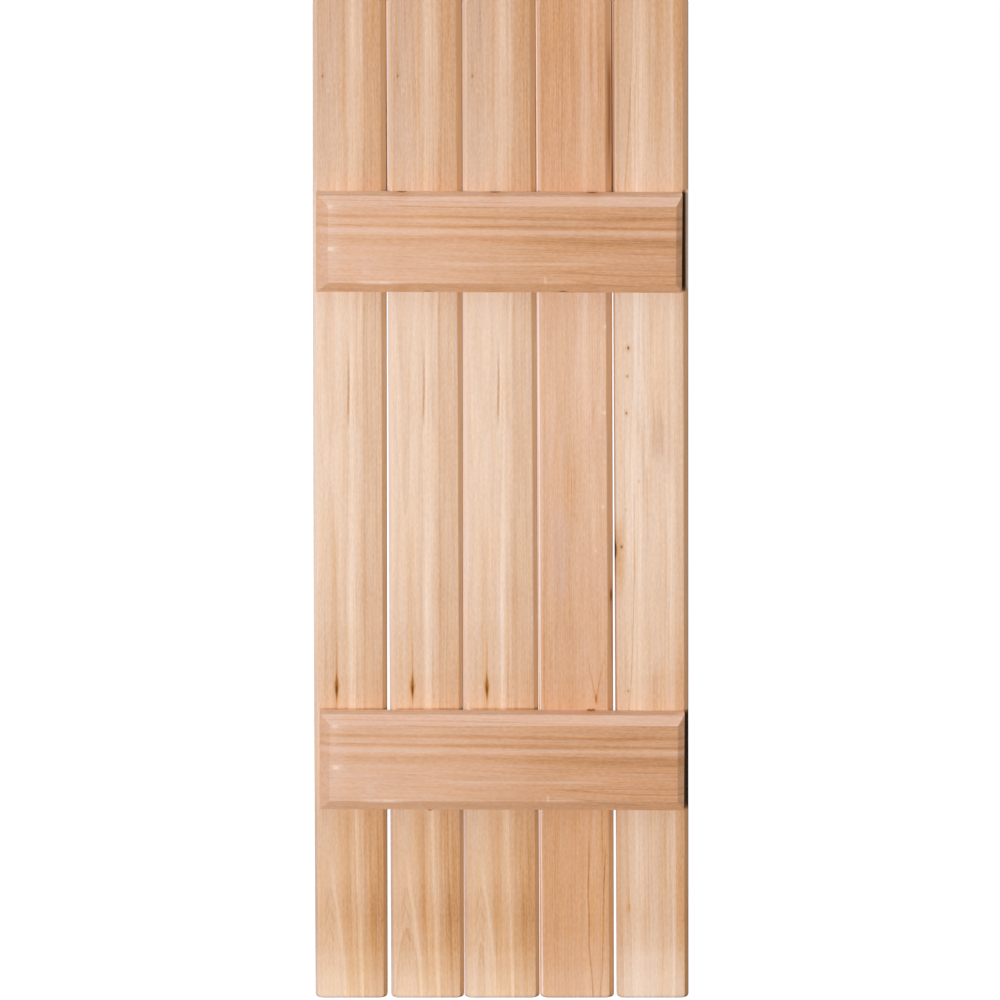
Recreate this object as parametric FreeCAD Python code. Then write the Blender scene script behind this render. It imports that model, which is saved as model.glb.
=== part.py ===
import FreeCAD, Part
import os

# Board and batten shutter of unfinished cedar, in millimetres.
# It hangs flat on a wall: the wall is the plane y = 0, the front faces -y and +z is up.
# The origin is the middle of the back, half way up.

# Upright boards, in a row from left to right
HEIGHT = 1219.2
BOARD_WIDTH = 88.9
BOARD_THICKNESS = 19.05
BOARD_NAMES = ["left_board", "left_middle_board", "middle_board", "right_middle_board", "right_board"]

# They are sawn and spaced by eye: how much wider each one is than planned, and the gaps, at both ends of the row
EXTRA_WIDTH_AT_TOP = [-1.7, 0.7, -2.3, -0.5, 3.1]
EXTRA_WIDTH_AT_BOTTOM = [-1.9, -0.9, 1.9, -0.7, -1.1]
GAPS_AT_TOP = [0.5, 0.4, 0.6, 0.7]
GAPS_AT_BOTTOM = [4.6, 0.6, 0.8, 3.5]
ROW_SHIFT_AT_TOP = -1.95

# Planed front edges and eased ends of each board
LEFT_CHAMFER = 4.6
RIGHT_CHAMFER = 5.8
CHAMFER_DEPTH = 5.2
END_CORNER_RADIUS = 4.8
END_EASING = 1.4

# Cross battens on the front
BATTEN_HEIGHT = 117.4
BATTEN_THICKNESS = 31.75
UPPER_BATTEN_LENGTH = 435.8
UPPER_BATTEN_FROM_TOP = 289.75
UPPER_BATTEN_SIDE_SHIFT = -3.7
LOWER_BATTEN_LENGTH = 437.9
LOWER_BATTEN_FROM_BOTTOM = 297.65
LOWER_BATTEN_SIDE_SHIFT = 0.1

# Mitred bevels round the front of each batten
BEVEL_DEPTH = 6.6
TOP_BEVEL = 12.6
BOTTOM_BEVEL = 11.4
UPPER_BATTEN_LEFT_BEVEL = 14.7
UPPER_BATTEN_RIGHT_BEVEL = 7.2
LOWER_BATTEN_LEFT_BEVEL = 11.7
LOWER_BATTEN_RIGHT_BEVEL = 8.0


def point(x, y, z):
    return FreeCAD.Vector(x, y, z)


def polygon_face(points):
    return Part.Face(Part.makePolygon(points + points[:1]))


def edges_along_row(extra_widths, gaps, shift):
    """Left and right edge of every board at one end of the row, which is centred and then moved by shift."""
    widths = [BOARD_WIDTH + extra for extra in extra_widths]
    left = shift - (sum(widths) + sum(gaps)) / 2
    edges = []
    for width, gap in zip(widths, gaps + [0]):
        edges.append((left, left + width))
        left += width + gap
    return edges


def board_outline(foot, head):
    """A board's front view, from its foot's edges to its head's, with rounded corners, through its thickness."""
    half = HEIGHT / 2
    front_view = polygon_face([
        point(foot[0], 0, -half),
        point(foot[1], 0, -half),
        point(head[1], 0, half),
        point(head[0], 0, half),
    ])
    blank = front_view.extrude(point(0, -BOARD_THICKNESS, 0))
    corners = [e for e in blank.Edges if abs(e.tangentAt(e.FirstParameter).y) > 0.9]
    return blank.makeFillet(END_CORNER_RADIUS, corners)


def board_side_profile(left, right):
    """A board seen from its side, with the front edge of both ends sanded off."""
    half = HEIGHT / 2
    front = -BOARD_THICKNESS
    profile = polygon_face([
        point(left, 0, -half),
        point(left, front + END_EASING, -half),
        point(left, front, -half + END_EASING),
        point(left, front, half - END_EASING),
        point(left, front + END_EASING, half),
        point(left, 0, half),
    ])
    return profile.extrude(point(right - left, 0, 0))


def chamfer_waste(foot_x, head_x, inward):
    """The wood planed off one front edge, run past both ends of the board; inward is the chamfer's width."""
    overrun = 0.01
    rise = point(head_x - foot_x, 0, HEIGHT)
    start = point(foot_x, -BOARD_THICKNESS, -HEIGHT / 2) - rise * overrun
    section = polygon_face([
        start + point(-inward / 2, CHAMFER_DEPTH * 1.5, 0),
        start + point(inward * 1.5, -CHAMFER_DEPTH / 2, 0),
        start + point(-inward / 2, -CHAMFER_DEPTH / 2, 0),
    ])
    return section.extrude(rise * (1 + 2 * overrun))


def make_boards():
    """Five boards that lean and taper a little, so that the gaps between them widen towards the foot."""
    boards = {}
    feet = edges_along_row(EXTRA_WIDTH_AT_BOTTOM, GAPS_AT_BOTTOM, 0)
    heads = edges_along_row(EXTRA_WIDTH_AT_TOP, GAPS_AT_TOP, ROW_SHIFT_AT_TOP)
    for name, foot, head in zip(BOARD_NAMES, feet, heads):
        board = board_outline(foot, head)
        board = board.common(board_side_profile(min(foot[0], head[0]), max(foot[1], head[1])))
        board = board.cut(chamfer_waste(foot[0], head[0], LEFT_CHAMFER))
        board = board.cut(chamfer_waste(foot[1], head[1], -RIGHT_CHAMFER))
        boards[name] = board
    return boards


def make_batten(length, side_shift, middle_height, left_bevel, right_bevel):
    """A thick cross board: a square-edged back part and a front that narrows by the four mitred bevels."""
    left = side_shift - length / 2
    right = left + length
    low = middle_height - BATTEN_HEIGHT / 2
    high = low + BATTEN_HEIGHT
    square_edge = BATTEN_THICKNESS - BEVEL_DEPTH
    seat = -BOARD_THICKNESS
    back_part = Part.makeBox(length, square_edge, BATTEN_HEIGHT, point(left, seat - square_edge, low))
    bevelled = Part.makeWedge(
        left, square_edge, low, low + BOTTOM_BEVEL, left + left_bevel,
        right, BATTEN_THICKNESS, high, high - TOP_BEVEL, right - right_bevel,
    )
    bevelled = bevelled.mirror(point(0, 0, 0), point(0, 1, 0))
    bevelled.translate(point(0, seat, 0))
    return back_part.fuse(bevelled).removeSplitter()


nodes = make_boards()
nodes["upper_batten"] = make_batten(
    UPPER_BATTEN_LENGTH, UPPER_BATTEN_SIDE_SHIFT, HEIGHT / 2 - UPPER_BATTEN_FROM_TOP,
    UPPER_BATTEN_LEFT_BEVEL, UPPER_BATTEN_RIGHT_BEVEL,
)
nodes["lower_batten"] = make_batten(
    LOWER_BATTEN_LENGTH, LOWER_BATTEN_SIDE_SHIFT, LOWER_BATTEN_FROM_BOTTOM - HEIGHT / 2,
    LOWER_BATTEN_LEFT_BEVEL, LOWER_BATTEN_RIGHT_BEVEL,
)

os.makedirs("parts", exist_ok=True)
for name, shape in nodes.items():
    solid = shape.Solids[0]
    solid.exportStep(os.path.join("parts", name + ".step"))
    box = solid.BoundBox
    print(name, len(shape.Solids), solid.isValid(), round(solid.Volume),
          [round(v, 2) for v in (box.XMin, box.XMax, box.YMin, box.YMax, box.ZMin, box.ZMax)])
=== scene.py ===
import math
import random
from functools import partial

import bmesh
import bpy
from mathutils import Matrix, Vector, noise


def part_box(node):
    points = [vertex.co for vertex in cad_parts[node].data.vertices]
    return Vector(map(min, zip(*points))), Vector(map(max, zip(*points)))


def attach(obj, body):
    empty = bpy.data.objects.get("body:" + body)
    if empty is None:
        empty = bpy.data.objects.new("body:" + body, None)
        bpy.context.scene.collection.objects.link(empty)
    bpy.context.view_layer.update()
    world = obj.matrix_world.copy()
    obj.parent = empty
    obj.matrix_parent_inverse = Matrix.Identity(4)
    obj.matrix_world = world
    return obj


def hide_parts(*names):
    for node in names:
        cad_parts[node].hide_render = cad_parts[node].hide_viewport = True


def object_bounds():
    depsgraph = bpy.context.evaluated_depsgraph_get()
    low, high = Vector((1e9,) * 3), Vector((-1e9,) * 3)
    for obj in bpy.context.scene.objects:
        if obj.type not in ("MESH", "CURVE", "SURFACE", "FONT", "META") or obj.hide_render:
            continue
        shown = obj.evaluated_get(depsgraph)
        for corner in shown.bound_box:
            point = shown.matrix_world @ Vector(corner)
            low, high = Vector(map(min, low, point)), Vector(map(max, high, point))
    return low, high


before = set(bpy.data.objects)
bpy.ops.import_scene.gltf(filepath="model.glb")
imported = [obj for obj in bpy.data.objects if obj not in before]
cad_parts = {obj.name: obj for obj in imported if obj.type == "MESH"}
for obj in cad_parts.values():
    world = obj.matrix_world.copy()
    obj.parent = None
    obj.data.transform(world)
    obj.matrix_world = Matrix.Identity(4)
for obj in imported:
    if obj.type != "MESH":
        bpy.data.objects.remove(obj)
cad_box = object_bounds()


# Upright boards: five one-by-four boards of unfinished cedar, planed on the front and sawn on the back.
# Both front edges are chamfered on the planer and the end corners are sanded round.
# They stand side by side, sawn and spaced by eye, and only the battens hold them together.
BOARD_NODES = ["left_board", "left_middle_board", "middle_board", "right_middle_board", "right_board"]
LEFT_CHAMFER = 0.0046
RIGHT_CHAMFER = 0.0058
RIGHT_CHAMFER_SPREAD = 0.0011
CHAMFER_DEPTH = 0.0052
ARRIS_ROUND = 0.0009
END_CORNER_RADIUS = 0.0048
END_EASING = 0.0014
END_RING_STEPS = [0.0003, 0.0008, 0.0014, 0.0024, 0.0036, 0.0048]
RING_SPACING = 0.006
PLANER_WAVER = 0.00035
OUTER_EDGE_BOW = 0.0010
END_ZONE = 0.02
NO_TRIM = ((0.0, 0.0), (0.0, 0.0))
EDGE_TRIMS = {
    "left_middle_board": ((0.0, 0.0), (-0.0004, 0.0)),
    "middle_board": ((0.0, 0.0), (-0.0003, 0.0)),
    "right_middle_board": ((0.0, 0.0011), (-0.0005, 0.0013)),
    "right_board": ((0.0009, 0.0), (0.0013, 0.0)),
}
BACKS_MEET_FROM = 0.74
BACKS_MEET_ABOVE = 0.80
BACK_CLEARANCE = 0.00005


def board_edges(node):
    """Left and right edge of a board, first at its foot and then at its head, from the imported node."""
    low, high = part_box(node)
    points = [vertex.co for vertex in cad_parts[node].data.vertices]
    foot = [p.x for p in points if p.z < low.z + END_ZONE]
    head = [p.x for p in points if p.z > high.z - END_ZONE]
    return (min(foot), max(foot)), (min(head), max(head))


def outer_edge(edges, trims, side, rise):
    """Where a board's left or right side stands, at a share of its height, after its listed trims."""
    foot, head = [place[side] + trim[side] for place, trim in zip(edges, trims)]
    return foot + (head - foot) * rise


def ring_heights(length):
    """Heights of the cross-sections up a board, close together where the ends are rounded."""
    middle = length - 2 * END_RING_STEPS[-1]
    count = round(middle / RING_SPACING)
    inner = [END_RING_STEPS[-1] + middle * i / count for i in range(1, count)]
    return END_RING_STEPS + inner + [length - step for step in reversed(END_RING_STEPS)] + [length]


def rounded_drop(distance, radius):
    """How far a quarter-round edge falls back, at a distance from the end it rounds."""
    inside = min(max(radius - distance, 0.0), radius)
    return radius - math.sqrt(radius ** 2 - inside ** 2)


def planed_board(node, seed, bow):
    """A chamfered cross-section drawn up from the foot's edges to the head's, then eased at both ends."""
    foot, head = board_edges(node)
    trims = EDGE_TRIMS.get(node, NO_TRIM)
    left_neighbours = BOARD_NODES[:BOARD_NODES.index(node)][-1:]
    beside = [(board_edges(other), EDGE_TRIMS.get(other, NO_TRIM)) for other in left_neighbours]
    low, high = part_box(node)
    thickness = high.y - low.y
    length = high.z - low.z
    shoulder = CHAMFER_DEPTH - thickness
    middle = sum(foot) / 2
    mesh = bmesh.new()
    section = [
        (foot[0], 0), (foot[1], 0), (foot[1], shoulder),
        (foot[1] - RIGHT_CHAMFER, -thickness), (foot[0] + LEFT_CHAMFER, -thickness), (foot[0], shoulder),
    ]
    corners = [mesh.verts.new((x, y, 0)) for x, y in section]
    mesh.faces.new(corners)
    bmesh.ops.bevel(
        mesh, geom=corners, offset=ARRIS_ROUND, segments=3, profile=0.5, affect="VERTICES", material=-1,
    )
    rim = mesh.edges[:]
    reached = 0
    for height in ring_heights(length):
        lifted = bmesh.ops.extrude_edge_only(mesh, edges=rim)["geom"]
        new_verts = {part for part in lifted if isinstance(part, bmesh.types.BMVert)}
        new_edges = [part for part in lifted if isinstance(part, bmesh.types.BMEdge)]
        rim = [edge for edge in new_edges if new_verts.issuperset(edge.verts)]
        bmesh.ops.translate(mesh, verts=list(new_verts), vec=(0, 0, height - reached))
        reached = height
    bmesh.ops.contextual_create(mesh, geom=rim)
    for vertex in mesh.verts:
        x, y, z = vertex.co
        side = 0 if x < middle else 1
        inward = 1 - 2 * side
        from_end = min(z, length - z)
        rise = z / length
        vertex.co.x += (head[side] - foot[side]) * rise
        vertex.co.x += inward * rounded_drop(from_end, END_CORNER_RADIUS)
        if side == 0:
            vertex.co.x -= bow * math.sin(math.pi * rise)
        if y < (shoulder - thickness) / 2:
            vertex.co.x += noise.noise(Vector((seed, 5.0 * side, z * 9))) * PLANER_WAVER
            vertex.co.x += side * RIGHT_CHAMFER_SPREAD * (1 - 2 * rise)
        else:
            vertex.co.x += trims[0][side] + (trims[1][side] - trims[0][side]) * rise
        if side == 0 and y > shoulder / 2:
            meeting = min(max((rise - BACKS_MEET_FROM) / (BACKS_MEET_ABOVE - BACKS_MEET_FROM), 0.0), 1.0)
            for edges, edge_trims in beside:
                gap = outer_edge((foot, head), trims, 0, rise) - outer_edge(edges, edge_trims, 1, rise)
                vertex.co.x -= max(gap - BACK_CLEARANCE, 0.0) * meeting
        if y < -thickness / 2:
            vertex.co.y += rounded_drop(from_end, END_EASING)
    bmesh.ops.recalc_face_normals(mesh, faces=mesh.faces[:])
    bmesh.ops.translate(mesh, verts=mesh.verts[:], vec=(0, 0, low.z))
    return mesh


def new_object(name, data):
    """An object in the scene, at the origin."""
    thing = bpy.data.objects.new(name, data)
    bpy.context.scene.collection.objects.link(thing)
    return thing


def new_piece(name, mesh, material):
    """An object for a finished mesh, which is used up."""
    data = bpy.data.meshes.new(name)
    mesh.to_mesh(data)
    mesh.free()
    data.shade_smooth()
    data.materials.append(material)
    return new_object(name, data)


def soften_edges(piece):
    """Shades small rounded edges smoothly and keeps the wide faces flat."""
    flatten = piece.modifiers.new("flat_faces", "WEIGHTED_NORMAL")
    flatten.weight = 100


def linear(red, green, blue):
    """A colour written as it looks on a screen, 0 to 255, as the linear light that a shader takes."""
    def channel(value):
        value = value / 255
        return value / 12.92 if value <= 0.04045 else ((value + 0.055) / 1.055) ** 2.4
    return channel(red), channel(green), channel(blue)


class Grain:
    """A number that varies through the wood: arithmetic on it adds Math nodes to the material."""

    def __init__(self, socket):
        self.socket = socket
        self.tree = socket.id_data

    def math(self, operation, *others):
        node = self.tree.nodes.new("ShaderNodeMath")
        node.operation = operation
        for slot, value in zip(node.inputs, (self, *others)):
            if isinstance(value, Grain):
                self.tree.links.new(value.socket, slot)
            else:
                slot.default_value = value
        return Grain(node.outputs[0])

    def __add__(self, other):
        return self.math("ADD", other)

    def __sub__(self, other):
        return self.math("SUBTRACT", other)

    def __mul__(self, other):
        return self.math("MULTIPLY", other)

    def __truediv__(self, other):
        return self.math("DIVIDE", other)

    def times(self, factor, start):
        """This number times a factor, added to a start."""
        return self.math("MULTIPLY_ADD", factor, start)

    def toward(self, goal, share):
        """This number moved towards a goal, all the way where share is 1."""
        return (self * -1 + goal).math("MULTIPLY_ADD", share, self)

    def size(self):
        return self.math("ABSOLUTE")

    def distance(self, other):
        """The long side of a right-angled triangle whose short sides are this and the other."""
        return self.math("MULTIPLY_ADD", self, other * other).math("SQRT")

    def between(self, start, end, low=0.0, high=1.0):
        """Goes smoothly from low to high as this number goes from start to end, and stays there."""
        node = self.tree.nodes.new("ShaderNodeMapRange")
        node.interpolation_type = "SMOOTHSTEP"
        self.tree.links.new(self.socket, node.inputs["Value"])
        for slot, value in (("From Min", start), ("From Max", end), ("To Min", low), ("To Max", high)):
            node.inputs[slot].default_value = value
        return Grain(node.outputs["Result"])

    def ramp(self, stops, join):
        """The colour at this number's place among (place, colour) stops, where places run from 0 to 1."""
        node = self.tree.nodes.new("ShaderNodeValToRGB")
        node.color_ramp.interpolation = join
        elements = node.color_ramp.elements
        while len(elements) < len(stops):
            elements.new(0.5)
        for element, (place, colour) in zip(elements, stops):
            element.position = place
            element.color = (*colour, 1)
        self.tree.links.new(self.socket, node.inputs["Fac"])
        return node.outputs["Color"]

    def curve(self, stops):
        """A smooth curve through (place, value) stops in rising order of place."""
        first, last = stops[0][0], stops[-1][0]
        reach = last - first
        part = self.times(1 / reach, -first / reach)
        greys = [((place - first) / reach, (value,) * 3) for place, value in stops]
        return Grain(part.ramp(greys, "EASE"))


def mottle(across, along, through, detail=2.0, roughness=0.5):
    """Cloudy variation, 0 to 1, on three grain coordinates that are already scaled."""
    tree = across.tree
    place = tree.nodes.new("ShaderNodeCombineXYZ")
    for slot, value in zip(place.inputs, (across, along, through)):
        if isinstance(value, Grain):
            tree.links.new(value.socket, slot)
        else:
            slot.default_value = value
    cloud = tree.nodes.new("ShaderNodeTexNoise")
    cloud.inputs["Scale"].default_value = 1.0
    cloud.inputs["Detail"].default_value = detail
    cloud.inputs["Roughness"].default_value = roughness
    tree.links.new(place.outputs["Vector"], cloud.inputs["Vector"])
    return Grain(cloud.outputs["Fac"])


WOOD_SPECULAR = 0.1
GRAIN_RELIEF = 0.00012
MM_PER_METRE = 1000


def new_material(name, specular):
    """A new material with its nodes and its shader."""
    material = bpy.data.materials.new(name)
    material.use_nodes = True
    tree = material.node_tree
    shader = tree.nodes["Principled BSDF"]
    shader.inputs["Specular IOR Level"].default_value = specular
    return material, tree, shader


def axes(tree, vector):
    """The three numbers of a vector."""
    split = tree.nodes.new("ShaderNodeSeparateXYZ")
    tree.links.new(vector, split.inputs["Vector"])
    return [Grain(output) for output in split.outputs]


def settle_wood(tree, middle, turn):
    """Centres a grain pattern on a piece and turns it upright, in millimetres."""
    settle = tree.nodes["settle"]
    settle.inputs["Rotation"].default_value = (0, turn, 0)
    shift = Vector(middle) * -MM_PER_METRE
    settle.inputs["Location"].default_value = Matrix.Rotation(turn, 3, "Y") @ shift
    settle.inputs["Scale"].default_value = (MM_PER_METRE,) * 3


def wood_place(tree):
    """Millimetres across, through and along a piece from its middle, and which way its surface faces."""
    coordinates = tree.nodes.new("ShaderNodeTexCoord")
    settle = tree.nodes.new("ShaderNodeMapping")
    settle.name = "settle"
    tree.links.new(coordinates.outputs["Object"], settle.inputs["Vector"])
    return axes(tree, settle.outputs["Vector"]), axes(tree, coordinates.outputs["Normal"])


# Colours of cedar by tone, from pale sapwood at 0 to dark heartwood at 1 and resin past it.
CEDAR_TONES = [
    (-0.3, (249, 232, 217)), (0.0, (239, 214, 194)), (0.5, (222, 188, 161)), (1.0, (203, 156, 118)),
    (1.5, (162, 110, 70)), (2.2, (96, 58, 33)), (3.0, (36, 22, 12)),
]
RED_CEDAR_TONES = [
    (-0.3, (251, 231, 215)), (0.0, (242, 212, 191)), (0.5, (225, 186, 158)), (1.0, (207, 156, 117)),
    (1.5, (166, 108, 68)), (2.2, (98, 54, 30)), (3.0, (38, 20, 12)),
]
WARM_SHIFT = (5, -1, -11)


def stain(tree, shader, tone, warmth, tones):
    """Colours the wood by its tone, pinker where warmth is 0 and more orange where it is 1."""
    lowest = tones[0][0]
    reach = tones[-1][0] - lowest
    part = tone.times(1 / reach, -lowest / reach)
    blend = tree.nodes.new("ShaderNodeMix")
    blend.data_type = "RGBA"
    blend.clamp_factor = False
    colour_slots = [slot for slot in blend.inputs if slot.type == "RGBA"]
    for slot, share in zip(colour_slots, (-0.5, 0.5)):
        stops = []
        for place, colour in tones:
            shifted = [level + shift * share for level, shift in zip(colour, WARM_SHIFT)]
            stops.append(((place - lowest) / reach, linear(*shifted)))
        tree.links.new(part.ramp(stops, "LINEAR"), slot)
    tree.links.new(warmth.socket, blend.inputs["Factor"])
    result = [output for output in blend.outputs if output.type == "RGBA"][0]
    tree.links.new(result, shader.inputs["Base Color"])


def relief(tree, shader, height, depth):
    """Raises the grain by the height pattern, where 1 stands depth metres proud."""
    bump = tree.nodes.new("ShaderNodeBump")
    bump.inputs["Strength"].default_value = 1.0
    bump.inputs["Distance"].default_value = depth
    tree.links.new(height.socket, bump.inputs["Height"])
    tree.links.new(bump.outputs["Normal"], shader.inputs["Normal"])


VEIN_REACH = 60.0
CREASE_SHADE_REACH = 300


def vein(across, along, breadth, *path):
    """A line through (across, along) points in rising order, which fades over its first and last leg."""
    low, high = path[0][1], path[-1][1]
    part = along.times(1 / (high - low), -low / (high - low))
    stops = []
    for order, (aside, up) in enumerate(path):
        presence = 0.0 if order in (0, len(path) - 1) else 1.0
        stops.append(((up - low) / (high - low), (aside / VEIN_REACH / 2 + 0.5, presence, 0)))
    split = across.tree.nodes.new("ShaderNodeSeparateColor")
    across.tree.links.new(part.ramp(stops, "LINEAR"), split.inputs["Color"])
    centre = Grain(split.outputs["Red"]).times(2 * VEIN_REACH, -VEIN_REACH)
    line = (across - centre).size().between(0, breadth, 1, 0)
    return line * Grain(split.outputs["Green"])


def streak(across, along, breadth, aside, *heights):
    """A straight line up the grain, which fades in and out between its outer heights."""
    return vein(across, along, breadth, *[(aside, up) for up in heights])


def knot(across, along, breadth, length, place):
    """A knot cut through by the planer: a dark heart, drawn out along the grain, with a soft halo."""
    aside = across.times(1 / breadth, -place[0] / breadth)
    up = along.times(1 / length, -place[1] / length)
    distance = up.distance(aside)
    return distance.between(0.8, 2.6, 1, 0).times(0.22, distance.between(0.3, 1.0, 1, 0))


def spindle(across, along, breadth, length, place):
    """A knot that runs to a point at both ends."""
    aside = across.times(1 / breadth, -place[0] / breadth).size()
    up = along.times(1 / length, -place[1] / length).size()
    return (aside + up).between(0.25, 1.0, 1, 0)


def arch(across, along, breadth, reach, rise, apex):
    """A pointed arch where a growth ring was cut. Its legs fall by rise for each step aside."""
    aside = (across - apex[0]).size()
    fall = (aside.times(rise, along) - apex[1]).size()
    line = fall.between(0, breadth * math.hypot(1, rise), 1, 0)
    return line * aside.between(reach * 0.5, reach, 1, 0)


def mark_shapes(across, along):
    """The functions for a line, a straight band, a knot and a ring, set on one piece's grain."""
    return [partial(shape, across, along) for shape in (vein, streak, knot, arch)]


# The marks on each plank, in millimetres across and up from its middle.
# Each is a shape with the tone and the warmth that it adds.
def plank_marks(across, along):
    """The three like boards at the left: a spindle knot, and painted shade in the crease above each batten.
    """
    line, band, pin, ring = mark_shapes(across, along)
    crease_shade = partial(pin, CREASE_SHADE_REACH)
    clear_of_edge = across.between(-38, -34)
    return [
        (band(18, 7.5, 380, 540, 700, 720), -0.30, -0.2),
        (band(3, 9.5, 420, 500, 640, 660), 0.12, 0.1),
        (band(26, 28, 360, 480, 680, 700), -0.14, 0.0),
        (line(5, (27, 400), (27, 470), (28, 640), (28, 660)), 0.08, 0.3),
        (band(2.2, -7, 420, 460, 590, 640), 0.12, 0.3),
        (band(9, -24, 540, 560, 595, 615), 0.08, -0.3),
        (band(2.0, -32, 495, 522, 540, 556), 0.12, 0.0),
        (pin(1.6, 2.2, (-32, 517)), 0.45, 0.3),
        # Painted shade in the crease above each batten, where it meets the boards.
        (crease_shade(1.1, (0, 375.4)) * clear_of_edge, 0.22, 0.2),
        (crease_shade(1.7, (0, -252.3)) * clear_of_edge, 0.45, 0.3),
        (pin(2.5, 2.0, (-25, 500)), -0.16, 0.0),
        (band(6, 7, 80, 120, 260, 300), 0.09, 0.1),
        (line(2.4, (-2.4, 92), (-2.2, 112), (-1.8, 140), (-1.9, 160), (-2, 200)), 0.62, -0.2),
        (line(1.6, (-3.2, 88), (-3.0, 110), (-2.6, 140), (-2.6, 160)), 0.24, -0.2),
        (line(1.8, (0.8, 90), (0.8, 120), (1, 220), (1, 260)), -0.12, 0.0),
        (band(2.0, 13, 140, 165, 250, 290), -0.10, 0.0),
        (band(2.2, 9.5, 80, 100, 145, 165), 0.12, 0.0),
        (band(4, 16.3, -260, -180, 240, 300), 0.06, 0.0),
        (band(1.4, -22, 20, 60, 240, 280), -0.07, 0.0),
        (band(1.4, -10, 0, 40, 230, 280), -0.06, 0.0),
        (line(8, (2.5, -300), (2, -262), (1.3, -200), (1, -130), (1, -50)), -0.24, -0.1),
        (line(5, (2, -110), (3, -60), (3, 0), (2, 70)), -0.07, 0.0),
        (band(10, -18, -300, -215, -60, 20), 0.16, 0.35),
        (band(26, 27, -340, -250, -170, -120), -0.12, 0.1),
        (band(5, 13.5, -160, -120, -20, 40), 0.08, 0.1),
        (band(2.2, 8, -260, -235, -190, -165), 0.14, 0.1),
        (line(1.8, (-17, -270), (-17, -240), (-17, -190), (-17.5, -150)), 0.30, 0.3),
        (spindle(across, along, 4.8, 26.0, (-17, -224)), 0.62, 0.6),
        (pin(2.2, 9.0, (-17, -229)), 0.40, 0.4),
        (band(9, 34, -640, -570, -430, -370), 0.16, 0.3),
        (band(26, 10, -660, -610, -560, -480), 0.02, 0.4),
        (line(20, (3, -650), (2, -590), (-1, -530), (-4, -470), (-6, -400), (-6, -330)), 0.24, 0.25),
        (line(4, (14, -660), (13, -600), (11.5, -550), (9, -480), (6, -390), (5, -330)), -0.27, -0.1),
        (line(5, (28, -620), (27, -560), (26.5, -500), (23, -430), (23, -380), (23, -330)), 0.20, 0.3),
        (band(6, 25, -550, -525, -495, -470), 0.10, 0.3),
        (line(
            4, (-6, -660), (-7, -620), (-9, -565), (-13, -530), (-17, -500), (-21, -470), (-24, -430),
        ), -0.24, -0.1),
        (ring(1.5, 9, 4.0, (-25, -474)), 0.18, 0.2),
        (ring(1.5, 8, 3.4, (-26, -497)), 0.18, 0.2),
        (ring(1.5, 8, 3.0, (-26, -522)), 0.16, 0.2),
        (ring(1.5, 8, 2.8, (-25, -556)), 0.12, 0.2),
        (band(16, -30, -440, -410, -370, -330), -0.04, -0.5),
        (band(28, -28, 360, 430, 640, 660), 0.0, -0.6),
    ]


def red_plank_marks(across, along):
    """The fourth board, redder heartwood: thin resin lines towards its foot and pointed rings above."""
    line, band, spot, ring = mark_shapes(across, along)
    return [
        (line(9, (14, 70), (14, 150), (13.5, 300), (13, 500), (14, 660), (14, 680)), -0.17, -0.1),
        (band(8, 4, 110, 190, 260, 340), -0.13, -0.1),
        (band(5, 26, 470, 540, 650, 670), -0.15, 0.0),
        (band(3, 20.5, 490, 520, 575, 600), 0.14, 0.2),
        (band(20, -25, 500, 545, 575, 620), 0.06, 0.4),
        (band(2.4, -37, 370, 400, 500, 530), 0.10, 0.2),
        (line(1.2, (-2.5, 470), (-2.5, 490), (-2.5, 560), (-2, 590)), 0.12, 0.1),
        (line(1.2, (1.5, 450), (1.5, 480), (1, 570), (1, 600)), 0.10, 0.1),
        (band(2.2, 30, 480, 505, 560, 590), 0.16, 0.3),
        (band(2.5, 34, 470, 500, 580, 620), 0.08, 0.5),
        (spot(1.6, 2.6, (37, 215)), -0.42, -0.3),
        (spot(2.6, 1.8, (35.5, 110)), -0.38, -0.3),
        (spot(1.6, 2.2, (33.8, -4.6)), -0.36, -0.2),
        (band(5, 33, 50, 70, 95, 112), 0.10, -0.6),
        (band(2.4, 23, 90, 103, 115, 126), 0.18, 0.6),
        (band(7, -10, 30, 52, 68, 90), 0.10, -0.4),
        (band(18, -2, -60, -20, 40, 80), 0.07, 0.1),
        (band(1.3, -9, -20, 5, 35, 60), 0.10, 0.4),
        (band(1.3, -4, -20, 5, 35, 60), 0.10, 0.4),
        (line(4, (22.5, -75), (22, -20), (22, 40), (22, 100)), -0.14, -0.1),
        (band(16, -17, -130, -105, -25, 0), 0.0, -0.8),
        (spot(2.2, 3.0, (25, -58)), -0.25, -0.1),
        (ring(1.4, 7, -2.6, (25, -142)), 0.16, 0.3),
        (ring(1.5, 12, -5.2, (24.5, -242)), 0.30, 0.3),
        (spot(2.6, 9.0, (24.6, -240)), 0.34, 0.5),
        (spot(2.2, 10.0, (43, -113)), 0.60, 0.6),
        (line(2.0, (43.5, -210), (43.5, -180), (43.0, -120), (43.0, -90)), 0.25, 0.3),
        (band(3, -38, -270, -235, -175, -150), 0.12, 0.6),
        (band(1.4, 18, -450, -430, -380, -340), 0.16, 0.2),
        (line(
            1.7, (20.5, -640), (20, -605), (17, -565), (15, -545), (15.5, -500), (14, -485), (15.5, -435),
            (16, -410),
        ), 0.46, 0.5),
        (line(
            1.6, (27.5, -640), (28.5, -605), (31.5, -570), (32, -540), (33, -480), (35, -440), (36, -415),
        ), 0.42, 0.5),
        (line(1.6, (32, -455), (32, -430), (31.5, -380), (31.5, -340)), 0.26, 0.3),
        (band(9, 20, -545, -520, -480, -450), 0.08, 0.5),
    ]


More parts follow.
